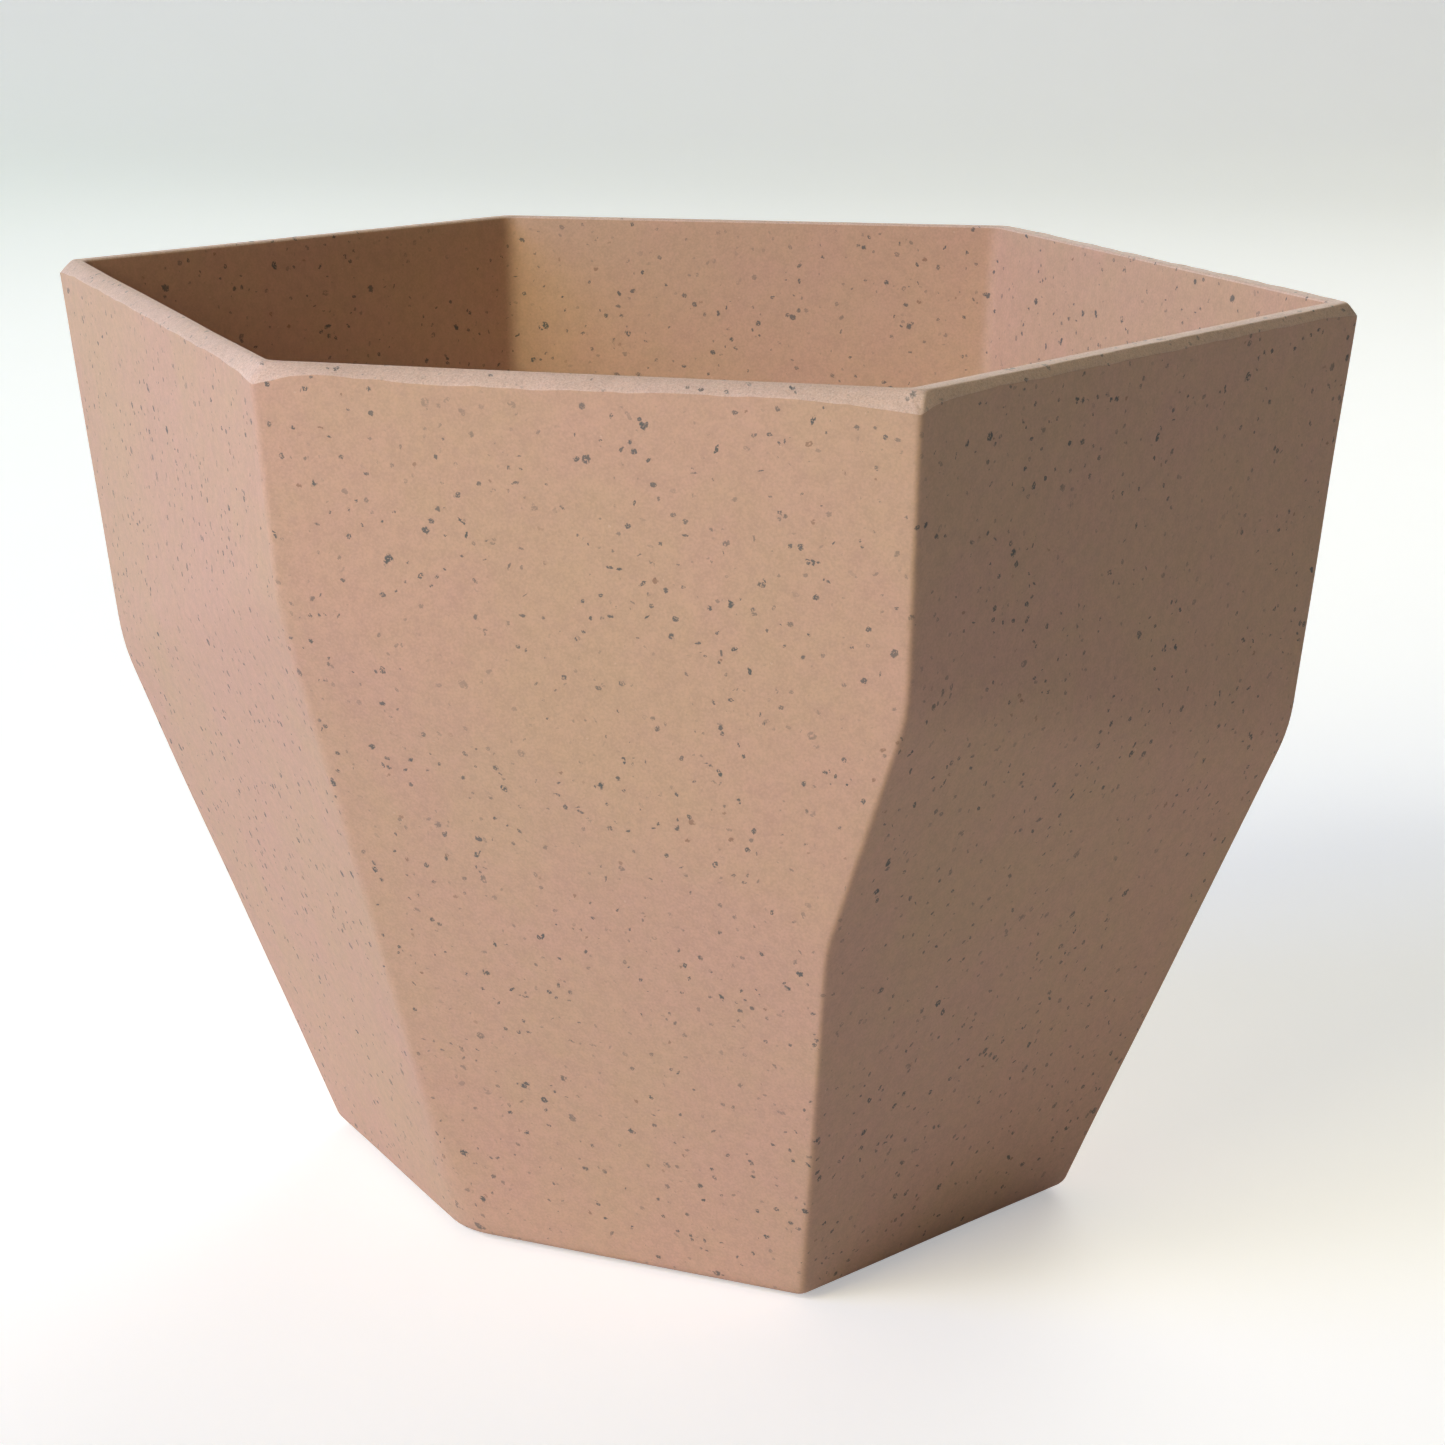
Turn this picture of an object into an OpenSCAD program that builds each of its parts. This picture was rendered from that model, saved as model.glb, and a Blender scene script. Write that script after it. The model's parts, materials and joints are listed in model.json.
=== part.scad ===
// Faceted six-sided plant pot: one cast shell, a push-in drain plug and six foot pads.
// Millimetres, +Z up. The pads stand on z = 0 and the origin is under the middle of the rim's box.

/* [Pot] */
// Width of the rim, corner to corner from left to right
rim_width = 145; // [138:0.5:152]
// Height of the rim above the surface that the pot stands on
pot_height = 102.4; // [97.4:0.5:107.4]
// Thickness of the lower walls, measured level
lower_wall = 3.5; // [3:0.25:5]
// Thickness of the floor, from the foot ring's face to the inside
floor_thickness = 6.5; // [5:0.5:8]

/* [Rim] */
// How far the sanded rim falls from its flat top to the outer walls
rim_fall = 1; // [0.6:0.1:1.4]
// Width of the flat that sanding leaves along most of the inner edge
rim_flat = 0.8; // [0.6:0.1:1]

/* [Underside] */
// Depth of the recess inside the foot ring
recess_depth = 1.5; // [1:0.25:2]
// Diameter of the drain hole
drain_diameter = 12; // [10:0.5:14]

/* [Foot pads] */
// Diameter of one pad
pad_diameter = 9; // [7:0.5:10]
// How far the pads stand below the foot ring
pad_proud = 0.5; // [0.25:0.25:1]

/* [Drain plug] */
// Diameter of the flange that covers the hole inside the pot
flange_diameter = 20; // [17:0.5:24]
// Height of the pull knob above the flange
knob_height = 6; // [4:0.5:8]

/* [Hidden] */

$fn = 64;
design_width = 145;
plan_scale = rim_width / design_width;

// Corners of the sharp outline, anticlockwise from the left: at the rim and at the foot.
// Wall i runs from corner i to the next one. The foot's hexagon is turned and shifted
// against the rim's, which is what makes the creases slant.
rim_corners = plan_scale * [[-72.5, 26], [-41.5, -51.5], [22, -70], [72.5, -12.5], [41.5, 57], [-22.5, 70]];
foot_corners = plan_scale * [[-41.5, 14.5], [-24.5, -21.5], [12.5, -40], [43.5, -8.5], [25.5, 25], [-13, 41]];
foot_centre = plan_scale * [0.5, 2];
walls = [0:5];

// Degrees that each wall leans in towards the foot, above and below its crease
upper_lean = [6.1, 6.5, 5.5, 6.0, 6.5, 6.2];
lower_lean = [18.1, 21.8, 19.3, 18.9, 22.6, 24.0];

// Thickness of each wall at the rim, uneven because the rim is finished by hand
upper_wall = [2.5, 2.6, 2.7, 2.9, 2.8, 2.8];

// How much wider than rim_flat the sanding left each wall's flat
flat_extra = [0, -0.2, 1.1, 1.4, 0.5, 0.8];

foot_z = pad_proud;
recess_z = foot_z + recess_depth;
floor_z = foot_z + floor_thickness;
recess_share = 0.84;
reach = 3 * rim_width;

stem_clearance = 0.05;
stem_end_gap = 0.5;
seat_gap = 0.1;
stem_diameter = drain_diameter - 2 * stem_clearance;
flange_thickness = 2;
neck_diameter = 4.5;
knob_diameter = 7;
knob_head = 2.5;

pad_thickness = recess_depth + pad_proud;
pad_share = 0.6;

shell_colour = [0.78, 0.64, 0.54];
plug_colour = [0.22, 0.21, 0.20];
pad_colour = [0.62, 0.47, 0.32];

// Everything on the inner side of a tilted plane through two corners at height z.
// tilt is how far the plane leans in on its way down, and inset moves it level, inwards.
module inner_side(from, to, z, tilt, inset = 0) {
    translate([from.x, from.y, z])
        rotate([0, 0, atan2(to.y - from.y, to.x - from.x)])
            translate([0, inset, 0])
                rotate([tilt, 0, 0])
                    translate([-reach, 0, -reach])
                        cube([2 * reach, reach, 2 * reach]);
}

// The solid inside all twelve leaning walls, between two heights
module faceted_block(bottom, top, upper_inset, lower_inset) {
    intersection() {
        translate([-reach / 2, -reach / 2, bottom])
            cube([reach, reach, top - bottom]);
        intersection_for (i = walls)
            inner_side(rim_corners[i], rim_corners[(i + 1) % 6], pot_height, upper_lean[i], upper_inset[i]);
        intersection_for (i = walls)
            inner_side(foot_corners[i], foot_corners[(i + 1) % 6], foot_z, lower_lean[i], lower_inset);
    }
}

// The outer body, with the rim sanded down from its flat towards the outer walls
module outer_body() {
    intersection() {
        faceted_block(foot_z, pot_height, [0, 0, 0, 0, 0, 0], 0);
        intersection_for (i = walls) {
            slope_width = upper_wall[i] - rim_flat - flat_extra[i];
            inner_side(rim_corners[i], rim_corners[(i + 1) % 6], pot_height,
                       -atan(slope_width / rim_fall), slope_width);
        }
    }
}

module pot_shell() {
    color(shell_colour)
        difference() {
            outer_body();
            faceted_block(floor_z, pot_height + 1, upper_wall, lower_wall);
            translate([foot_centre.x, foot_centre.y, foot_z - 1])
                linear_extrude(recess_depth + 1)
                    polygon([for (c = foot_corners) (c - foot_centre) * recess_share]);
            translate([foot_centre.x, foot_centre.y, 0])
                cylinder(d = drain_diameter, h = 2 * floor_z);
        }
}

// A soft bung: the stem fills the hole, the flange covers its edge and the knob is pulled
module drain_plug() {
    flange_z = floor_z + seat_gap;
    knob_z = flange_z + flange_thickness;
    color(plug_colour)
        translate([foot_centre.x, foot_centre.y, 0]) {
            translate([0, 0, recess_z + stem_end_gap])
                cylinder(d = stem_diameter, h = flange_z - recess_z - stem_end_gap);
            translate([0, 0, flange_z])
                cylinder(d = flange_diameter, h = flange_thickness);
            translate([0, 0, knob_z])
                cylinder(d = neck_diameter, h = knob_height - knob_head);
            translate([0, 0, knob_z + knob_height - knob_head])
                cylinder(d = knob_diameter, h = knob_head);
        }
}

// One pad in the recess, towards foot corner i
module foot_pad(i) {
    place = foot_centre + (foot_corners[i] - foot_centre) * pad_share;
    color(pad_colour)
        translate([place.x, place.y, 0])
            cylinder(d = pad_diameter, h = pad_thickness);
}

pot_shell();
drain_plug();
foot_pad(0);  // foot_pad_1
foot_pad(1);  // foot_pad_2
foot_pad(2);  // foot_pad_3
foot_pad(3);  // foot_pad_4
foot_pad(4);  // foot_pad_5
foot_pad(5);  // foot_pad_6
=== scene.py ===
"""Looks of a six-sided faceted plant pot: cast shell, push-in drain plug and cork foot pads.

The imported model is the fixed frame. Every place and size is worked out from it, in metres.
"""

from __future__ import annotations

import json
import logging
import math
from collections.abc import Callable, Sequence
from dataclasses import dataclass, field
from enum import Enum

import bpy
import numpy as np
from mathutils import Matrix, Vector

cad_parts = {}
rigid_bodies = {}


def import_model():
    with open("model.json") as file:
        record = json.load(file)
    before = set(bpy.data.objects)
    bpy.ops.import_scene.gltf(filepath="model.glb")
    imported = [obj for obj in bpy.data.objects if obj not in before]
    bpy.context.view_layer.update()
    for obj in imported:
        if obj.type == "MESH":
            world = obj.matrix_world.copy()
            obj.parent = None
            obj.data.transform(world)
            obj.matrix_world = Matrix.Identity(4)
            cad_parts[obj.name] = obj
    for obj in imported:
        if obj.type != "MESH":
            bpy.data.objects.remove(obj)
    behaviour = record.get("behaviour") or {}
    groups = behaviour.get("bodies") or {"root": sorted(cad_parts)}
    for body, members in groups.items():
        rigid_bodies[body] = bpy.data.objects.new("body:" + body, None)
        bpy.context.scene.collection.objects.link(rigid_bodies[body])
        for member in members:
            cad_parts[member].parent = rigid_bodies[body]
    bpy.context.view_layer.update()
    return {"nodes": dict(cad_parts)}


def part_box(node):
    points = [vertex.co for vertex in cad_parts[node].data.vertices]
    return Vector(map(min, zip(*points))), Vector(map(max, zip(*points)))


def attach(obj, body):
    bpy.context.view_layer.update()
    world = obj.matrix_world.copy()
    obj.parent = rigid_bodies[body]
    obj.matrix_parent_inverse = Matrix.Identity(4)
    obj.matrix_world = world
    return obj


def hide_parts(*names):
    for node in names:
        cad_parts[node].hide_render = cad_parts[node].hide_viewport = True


LOG = logging.getLogger("plant_pot")
MM = 0.001
WALLS = 6
FAR_INSIDE = -1e9  # a signed distance that any other one beats
SLIVER = 1e-4  # area in square mm under which a triangle is left out
LEVEL = 1e-9  # heights in mm closer than this are one level
NEEDLE = 0.02  # least radius in mm of a spun ring
Colour = tuple[float, float, float]
Distance = Callable[[np.ndarray], np.ndarray]
Socket = bpy.types.NodeSocket
Value = Socket | float


# ---------------------------------------------------------------- geometry helpers


def soft_max(a: np.ndarray, b: np.ndarray, softness: np.ndarray | float) -> np.ndarray:
    """Larger of two distances, rounded over where they are close.

    Args:
        a: First distances, in mm.
        b: Second distances, in mm.
        softness: How far apart the two may be and still be rounded together, in mm.

    Returns:
        The rounded maximum.
    """
    near = np.clip(softness - np.abs(a - b), 0.0, None) / softness
    return np.maximum(a, b) + near * near * softness * 0.25


def smooth_step(x: np.ndarray | float) -> np.ndarray:
    """S-shaped blend from 0 to 1 of x clipped to that range."""
    x = np.clip(x, 0.0, 1.0)
    return x * x * (3.0 - 2.0 * x)


@dataclass(frozen=True)
class Swell:
    """A few long, faint waves that keep a hand-cast face from being perfectly flat."""

    height: float
    length: float
    seed: int
    waves: int = 9

    def at(self, points: np.ndarray) -> np.ndarray:
        """Height of the waves.

        Args:
            points: Places (..., 3), in mm.

        Returns:
            The height at each place, in mm.
        """
        rng = np.random.default_rng(self.seed)
        total = np.zeros(points.shape[:-1])
        for _ in range(self.waves):
            direction = rng.normal(size=3)
            length = self.length * rng.uniform(0.6, 1.7)
            direction *= 2.0 * math.pi / length / np.linalg.norm(direction)
            total += np.sin(points @ direction + rng.uniform(0.0, 2.0 * math.pi))
        return total * self.height / math.sqrt(self.waves)


@dataclass
class FacetedBody:
    """Six walls, each an upper and a lower leaning plane, met by rounded edges. All in mm."""

    upper_normal: np.ndarray
    upper_reach: np.ndarray
    lower_normal: np.ndarray
    lower_reach: np.ndarray
    crease: float
    corner_top: Sequence[float]
    corner_foot: Sequence[float]
    foot_zone: float = 22.0

    def walls(self, points: np.ndarray) -> np.ndarray:
        """Signed distance to each wall.

        Args:
            points: Places (..., 3).

        Returns:
            The distances (..., 6).
        """
        upper = points @ self.upper_normal.T - self.upper_reach
        lower = points @ self.lower_normal.T - self.lower_reach
        return soft_max(upper, lower, self.crease)

    def distance(self, points: np.ndarray) -> np.ndarray:
        """Signed distance to the rounded body.

        Args:
            points: Places (..., 3).

        Returns:
            The distance of each place, under 0 inside the body.
        """
        walls = self.walls(points)
        share = smooth_step(1.0 - points[..., 2] / self.foot_zone)
        result = np.full(points.shape[:-1], FAR_INSIDE)
        for corner in range(WALLS):
            top, foot = self.corner_top[corner], self.corner_foot[corner]
            softness = top + share * (foot - top)
            pair = soft_max(walls[..., corner - 1], walls[..., corner], softness)
            result = np.maximum(result, pair)
        return result

    def corners(self, height: float) -> np.ndarray:
        """The six sharp corners (6, 2) of the level section at a height.

        Args:
            height: Height of the section, in mm.

        Returns:
            Corner i lies between wall i - 1 and wall i.
        """
        normals = np.concatenate([self.upper_normal, self.lower_normal])
        reach = np.concatenate([self.upper_reach, self.lower_reach]) - normals[:, 2] * height
        found = np.zeros((WALLS, 2))
        for corner in range(WALLS):
            best = math.inf
            before = (corner - 1) % WALLS
            for first in before, before + WALLS:
                for second in corner, corner + WALLS:
                    pair = normals[[first, second], :2]
                    point = np.linalg.solve(pair, reach[[first, second]])
                    worst = float(np.max(normals[:, :2] @ point - reach))
                    if worst < best:
                        best, found[corner] = worst, point
        return found


def meet(
    distance: Distance, start: np.ndarray, target: np.ndarray, past: float = 1.35, halvings: int = 44
) -> np.ndarray:
    """Where rays from inside a body meet its surface.

    Args:
        distance: Function that gives the signed distance of points (..., 3).
        start: Ray starts (..., 3), inside.
        target: Points (..., 3) that the rays aim at, near the surface.
        past: How far the rays go, as a multiple of the way to the target.
        halvings: How many times the search halves that way.

    Returns:
        The meeting points (..., 3).
    """
    low = np.zeros(target.shape[:-1])
    high = np.full(target.shape[:-1], past)
    way = target - start
    for _ in range(halvings):
        middle = (low + high) / 2.0
        inside = distance(start + way * middle[..., None]) < 0.0
        low = np.where(inside, middle, low)
        high = np.where(inside, high, middle)
    return start + way * ((low + high) / 2.0)[..., None]


def closed_grid(name: str, rings: np.ndarray, loops: bool = True) -> bpy.types.Mesh:
    """A closed mesh from rings of points.

    Args:
        name: Name of the mesh.
        rings: Points (rings, columns, 3) in mm; each ring closes on itself.
        loops: True if the last ring joins the first; otherwise both ends are capped to a middle point.

    Returns:
        The mesh, in metres, with its faces turned outwards.
    """
    count, columns = rings.shape[:2]
    points = rings.reshape(-1, 3).tolist()
    rows = count if loops else count - 1
    faces = []
    for r in range(rows):
        a, b = r * columns, (r + 1) % count * columns
        for c in range(columns):
            d = (c + 1) % columns
            faces.append((a + c, a + d, b + d, b + c))
    if not loops:
        for ring, turn in ((0, False), (count - 1, True)):
            middle = len(points)
            points.append(rings[ring].mean(axis=0).tolist())
            base = ring * columns
            for c in range(columns):
                edge = (base + c, base + (c + 1) % columns)
                faces.append((*edge, middle) if turn else (*edge[::-1], middle))
    mesh = bpy.data.meshes.new(name)
    mesh.from_pydata([[x * MM for x in p] for p in points], [], faces)
    mesh.validate()
    mesh.shade_smooth()
    turn_outwards(mesh)
    return mesh


def turn_outwards(mesh: bpy.types.Mesh) -> None:
    """Flips a closed mesh whose faces point inwards.

    Args:
        mesh: The mesh, in metres.
    """
    mesh.calc_loop_triangles()
    points = np.array([v.co for v in mesh.vertices])
    tris = np.array([t.vertices for t in mesh.loop_triangles])
    a, b, c = points[tris[:, 0]], points[tris[:, 1]], points[tris[:, 2]]
    if float(np.einsum("ij,ij->i", a, np.cross(b, c)).sum()) < 0.0:
        mesh.flip_normals()


def spun_mesh(
    name: str, profile: Sequence[tuple[float, float]], centre: Vector, columns: int
) -> bpy.types.Mesh:
    """A closed round mesh from a profile.

    Args:
        name: Name of the mesh.
        profile: (radius, height) pairs in mm, from the top's middle to the underside's middle.
        centre: Point on the axis, in metres, that heights start from.
        columns: Steps round the axis.

    Returns:
        The closed mesh.
    """
    angle = np.linspace(0.0, 2.0 * math.pi, columns, endpoint=False)
    rings = []
    for radius, height in profile:
        reach = max(radius, NEEDLE)
        level = np.full(columns, height)
        rings.append(np.stack([reach * np.cos(angle), reach * np.sin(angle), level], axis=-1))
    offset = np.array(centre) / MM
    return closed_grid(name, np.stack(rings) + offset, loops=False)


def rounded_profile(
    points: Sequence[tuple[float, float]], radii: Sequence[float], steps: int = 4
) -> list[tuple[float, float]]:
    """Rounds the corners of an open profile.

    Args:
        points: (radius, height) corners in mm.
        radii: How far back from each corner its rounding starts, in mm; 0 keeps it sharp.
        steps: Pieces in each rounding.

    Returns:
        The profile with its corners rounded.
    """
    made: list[tuple[float, float]] = []
    for i, (point, radius) in enumerate(zip(points, radii)):
        if radius <= 0.0 or i in (0, len(points) - 1):
            made.append(point)
            continue
        p = Vector(point)
        before, after = Vector(points[i - 1]) - p, Vector(points[i + 1]) - p
        a = p + before.normalized() * min(radius, before.length * 0.49)
        b = p + after.normalized() * min(radius, after.length * 0.49)
        for s in range(steps + 1):
            t = s / steps
            q = a * (1 - t) ** 2 + p * (2 * t * (1 - t)) + b * t * t
            made.append((q.x, q.y))
    return made


def add_object(name: str, mesh: bpy.types.Mesh, materials: Sequence[bpy.types.Material]) -> bpy.types.Object:
    """Links a new object into the scene.

    Args:
        name: Its name.
        mesh: Its mesh.
        materials: Its materials, in the order of its slots.

    Returns:
        The object.
    """
    piece = bpy.data.objects.new(name, mesh)
    bpy.context.scene.collection.objects.link(piece)
    for material in materials:
        mesh.materials.append(material)
    return piece


# ---------------------------------------------------------------- shader helpers


class Graph:
    """Short ways to add and join nodes in one node tree."""

    def __init__(self, tree: bpy.types.NodeTree) -> None:
        """Keeps the tree that nodes are added to."""
        self.tree = tree

    def add(self, kind: str, inputs: dict | None = None, **settings: str) -> bpy.types.Node:
        """Adds a node.

        Args:
            kind: Node type without its "ShaderNode" prefix.
            inputs: Values or sockets for its inputs, by name or index.
            settings: Properties of the node.

        Returns:
            The node.
        """
        node = self.tree.nodes.new("ShaderNode" + kind)
        for name, value in settings.items():
            setattr(node, name, value)
        for name, value in (inputs or {}).items():
            if isinstance(value, Socket):
                self.tree.links.new(value, node.inputs[name])
            else:
                node.inputs[name].default_value = value
        return node

    def join(self, value: Socket, goal: Socket) -> None:
        """Links one socket to another."""
        self.tree.links.new(value, goal)

    def math(self, operation: str, *values: Value) -> Socket:
        """Output of a Math node on values or sockets."""
        return self.add("Math", dict(enumerate(values)), operation=operation).outputs[0]

    def vector(
        self, operation: str, *values: Socket | Colour, scale: Value | None = None
    ) -> Socket:
        """Result of a Vector Math node.

        Args:
            operation: What the node does.
            values: Vectors or sockets for its inputs, in order.
            scale: Value or socket for its scale, where it has one.

        Returns:
            The node's vector output.
        """
        inputs: dict = dict(enumerate(values))
        if scale is not None:
            inputs["Scale"] = scale
        return self.add("VectorMath", inputs, operation=operation).outputs[0]

    def remap(
        self, value: Value, low: Value, high: Value, to_low: float = 0.0, to_high: float = 1.0
    ) -> Socket:
        """A value brought from one range to another, smoothly and clamped.

        Args:
            value: The value.
            low: Start of its range.
            high: End of its range.
            to_low: What it becomes at the start.
            to_high: What it becomes at the end.

        Returns:
            The new value.
        """
        node = self.add(
            "MapRange",
            {"Value": value, "From Min": low, "From Max": high, "To Min": to_low, "To Max": to_high},
            interpolation_type="SMOOTHSTEP",
        )
        return node.outputs["Result"]

    def mix(self, share: Value, a: Socket | Colour, b: Socket | Colour, blend: str = "MIX") -> Socket:
        """Two colours blended.

        Args:
            share: How much of the second colour, 0 to 1.
            a: The first colour.
            b: The second colour.
            blend: How they blend.

        Returns:
            The blended colour.
        """
        node = self.tree.nodes.new("ShaderNodeMix")
        node.data_type = "RGBA"
        node.blend_type = blend
        for index, value in ((0, share), (6, a), (7, b)):
            if isinstance(value, Socket):
                self.tree.links.new(value, node.inputs[index])
            elif index:
                node.inputs[index].default_value = (*value, 1.0)
            else:
                node.inputs[index].default_value = value
        return node.outputs[2]

    def noise(
        self, vector: Socket, scale: Value, detail: float = 2.0, rough: float = 0.5, twist: float = 0.0
    ) -> Socket:
        """Value of a 3-D noise.

        Args:
            vector: Where it is read.
            scale: Waves per metre.
            detail: Finer layers on top of it.
            rough: How strong the finer layers are.
            twist: How far it is distorted.

        Returns:
            The value, about 0.5 in the middle.
        """
        node = self.add(
            "TexNoise",
            {"Vector": vector, "Scale": scale, "Detail": detail, "Roughness": rough, "Distortion": twist},
        )
        return node.outputs[0]

    def grey(self, value: Socket) -> Socket:
        """A value as a grey colour."""
        return self.add("CombineColor", {0: value, 1: value, 2: value}).outputs[0]


class Effect(Enum):
    """Shader groups that more than one finish uses."""

    GRAINS = "Embedded grains"
    MOTTLE = "Soft mottling"
    PORES = "Fine pores"
    SCRATCHES = "Fine scratches"


class EffectShelf:
    """Builds each shared group once and places it in materials."""

    def __init__(self) -> None:
        """Builds every group."""
        self.groups: dict[Effect, bpy.types.NodeTree] = {
            Effect.GRAINS: self._grains(),
            Effect.MOTTLE: self._mottle(),
            Effect.PORES: self._pores(),
            Effect.SCRATCHES: self._scratches(),
        }

    @staticmethod
    def _new(
        effect: Effect, inputs: dict[str, float | None], outputs: Sequence[str]
    ) -> tuple[Graph, bpy.types.Node, bpy.types.Node]:
        """Starts a group.

        Args:
            effect: Which group.
            inputs: Names and values of its inputs; None makes a vector input.
            outputs: Names of its value outputs.

        Returns:
            The graph, its input node and its output node.
        """
        tree = bpy.data.node_groups.new(effect.value, "ShaderNodeTree")
        for name, value in inputs.items():
            kind = "NodeSocketVector" if value is None else "NodeSocketFloat"
            socket = tree.interface.new_socket(name, in_out="INPUT", socket_type=kind)
            if value is not None:
                socket.default_value = value
        for name in outputs:
            tree.interface.new_socket(name, in_out="OUTPUT", socket_type="NodeSocketFloat")
        graph = Graph(tree)
        return graph, tree.nodes.new("NodeGroupInput"), tree.nodes.new("NodeGroupOutput")

    def _grains(self) -> bpy.types.NodeTree:
        """Chips of stone set at all angles through the body, cut where the surface meets them.

        Returns:
            The group, with each chip's mask, its own tone and its core.
        """
        g, given, out = self._new(
            Effect.GRAINS,
            {
                "Vector": None, "Spacing": 0.003, "Smallest": 0.08, "Spread": 0.2, "Share": 0.6,
                "Ragged": 0.21, "Crumble": 0.40,
            },
            ("Mask", "Tone", "Core"),
        )
        value = given.outputs
        place = g.vector("SCALE", value["Vector"], scale=g.math("DIVIDE", 1.0, value["Spacing"]))
        ragged = g.add("TexNoise", {"Vector": place, "Scale": 5.0, "Detail": 2.0}).outputs["Color"]
        shift = g.vector("SCALE", g.vector("SUBTRACT", ragged, (0.5, 0.5, 0.5)), scale=value["Ragged"])
        moved = g.vector("ADD", place, shift)
        cells = g.add("TexVoronoi", {"Vector": moved, "Scale": 1.0}, voronoi_dimensions="3D", feature="F1")
        from_middle = g.vector("SUBTRACT", moved, cells.outputs["Position"])
        angles = g.vector("SCALE", cells.outputs["Color"], scale=6.2832)
        rotate = g.add("VectorRotate", {"Vector": from_middle, "Rotation": angles}, rotation_type="EULER_XYZ")
        chance = g.add("TexWhiteNoise", {"Vector": cells.outputs["Position"]}, noise_dimensions="3D")
        spread = g.vector("SCALE", chance.outputs["Color"], scale=value["Spread"])
        smallest = g.add("CombineXYZ", {axis: value["Smallest"] for axis in range(3)}).outputs[0]
        half = g.vector("ADD", spread, smallest)
        across = g.vector("DIVIDE", g.vector("ABSOLUTE", rotate.outputs[0]), half)
        x, y, z = g.add("SeparateXYZ", {0: across}).outputs
        box = g.math("MAXIMUM", g.math("MAXIMUM", x, y), z)
        cut = g.math("DIVIDE", g.math("ADD", g.math("ADD", x, y), z), 1.75)
        edge = g.math("MAXIMUM", box, cut)
        second = g.add("TexWhiteNoise", {"Vector": angles}, noise_dimensions="3D").outputs["Value"]
        filled = g.math("LESS_THAN", second, value["Share"])
        crumb_low = g.math("SUBTRACT", value["Crumble"], 0.05)
        crumb_high = g.math("ADD", value["Crumble"], 0.07)
        solid = g.remap(g.noise(place, 8.5, 1.0, 0.6), crumb_low, crumb_high)
        whole = g.math("MULTIPLY", g.remap(edge, 0.85, 1.1, 1.0, 0.0), solid)
        g.join(g.math("MULTIPLY", whole, filled), out.inputs["Mask"])
        g.join(chance.outputs["Value"], out.inputs["Tone"])
        g.join(g.remap(edge, 0.35, 0.8, 1.0, 0.0), out.inputs["Core"])
        return g.tree

    def _mottle(self) -> bpy.types.NodeTree:
        """Uneven pigment: broad clouds with finer clouds in them.

        Returns:
            The group, with the clouds' value.
        """
        inputs = {"Vector": None, "Broad": 40.0, "Fine": 260.0, "Balance": 0.45}
        g, given, out = self._new(Effect.MOTTLE, inputs, ("Value",))
        value = given.outputs
        broad = g.noise(value["Vector"], value["Broad"], 2.0, 0.5, 0.4)
        fine = g.noise(value["Vector"], value["Fine"], 3.0, 0.6)
        broad_part = g.math("MULTIPLY", broad, g.math("SUBTRACT", 1.0, value["Balance"]))
        mixed = g.math("ADD", g.math("MULTIPLY", fine, value["Balance"]), broad_part)
        g.join(g.remap(mixed, 0.32, 0.68), out.inputs["Value"])
        return g.tree

    def _pores(self) -> bpy.types.NodeTree:
        """The dry grain of the surface: fine lumps and a few deeper pinholes.

        Returns:
            The group, with the surface's height and the lumps' value.
        """
        inputs = {"Vector": None, "Scale": 3200.0, "Pinholes": 0.25}
        g, given, out = self._new(Effect.PORES, inputs, ("Height", "Value"))
        vector, scale = given.outputs["Vector"], given.outputs["Scale"]
        fine = g.noise(vector, scale, 3.0, 0.6)
        wide = g.noise(vector, g.math("MULTIPLY", scale, 0.22), 2.0, 0.55)
        cells = g.add("TexVoronoi", {"Vector": vector, "Scale": g.math("MULTIPLY", scale, 0.16)})
        hole = g.remap(cells.outputs["Distance"], 0.04, 0.16, 1.0, 0.0)
        chance = g.add("SeparateXYZ", {0: cells.outputs["Color"]}).outputs[0]
        rare = g.math("LESS_THAN", chance, given.outputs["Pinholes"])
        lumps = g.math("ADD", g.math("MULTIPLY", fine, 0.6), g.math("MULTIPLY", wide, 0.5))
        g.join(g.math("SUBTRACT", lumps, g.math("MULTIPLY", hole, rare)), out.inputs["Height"])
        tone = g.math("ADD", g.math("MULTIPLY", fine, 0.6), g.math("MULTIPLY", wide, 0.4))
        g.join(tone, out.inputs["Value"])
        return g.tree

    def _scratches(self) -> bpy.types.NodeTree:
        """Short crossing strokes that sanding leaves.

        Returns:
            The group, with the strokes' mask.
        """
        g, given, out = self._new(Effect.SCRATCHES, {"Vector": None, "Scale": 900.0}, ("Mask",))
        total = None
        for turn, stretch in ((0.5, 14.0), (1.75, 10.0), (2.7, 18.0)):
            laid = g.add(
                "Mapping",
                {
                    "Vector": given.outputs["Vector"], "Rotation": (0.0, 0.0, turn),
                    "Scale": (1.0, stretch, stretch * 0.4),
                },
                vector_type="TEXTURE",
            )
            wave = g.noise(laid.outputs[0], g.math("MULTIPLY", given.outputs["Scale"], stretch), 1.0, 0.5)
            stroke = g.remap(wave, 0.60, 0.72)
            total = stroke if total is None else g.math("MAXIMUM", total, stroke)
        g.join(total, out.inputs["Mask"])
        return g.tree

    def place(
        self, graph: Graph, effect: Effect, vector: Socket, **values: float
    ) -> bpy.types.Node:
        """Places a group in a material.

        Args:
            graph: The material's graph.
            effect: Which group.
            vector: Socket with the surface coordinates.
            values: Values for its inputs, by name.

        Returns:
            The group node.
        """
        node = graph.tree.nodes.new("ShaderNodeGroup")
        node.node_tree = self.groups[effect]
        graph.join(vector, node.inputs["Vector"])
        for name, value in values.items():
            node.inputs[name].default_value = value
        return node


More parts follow.
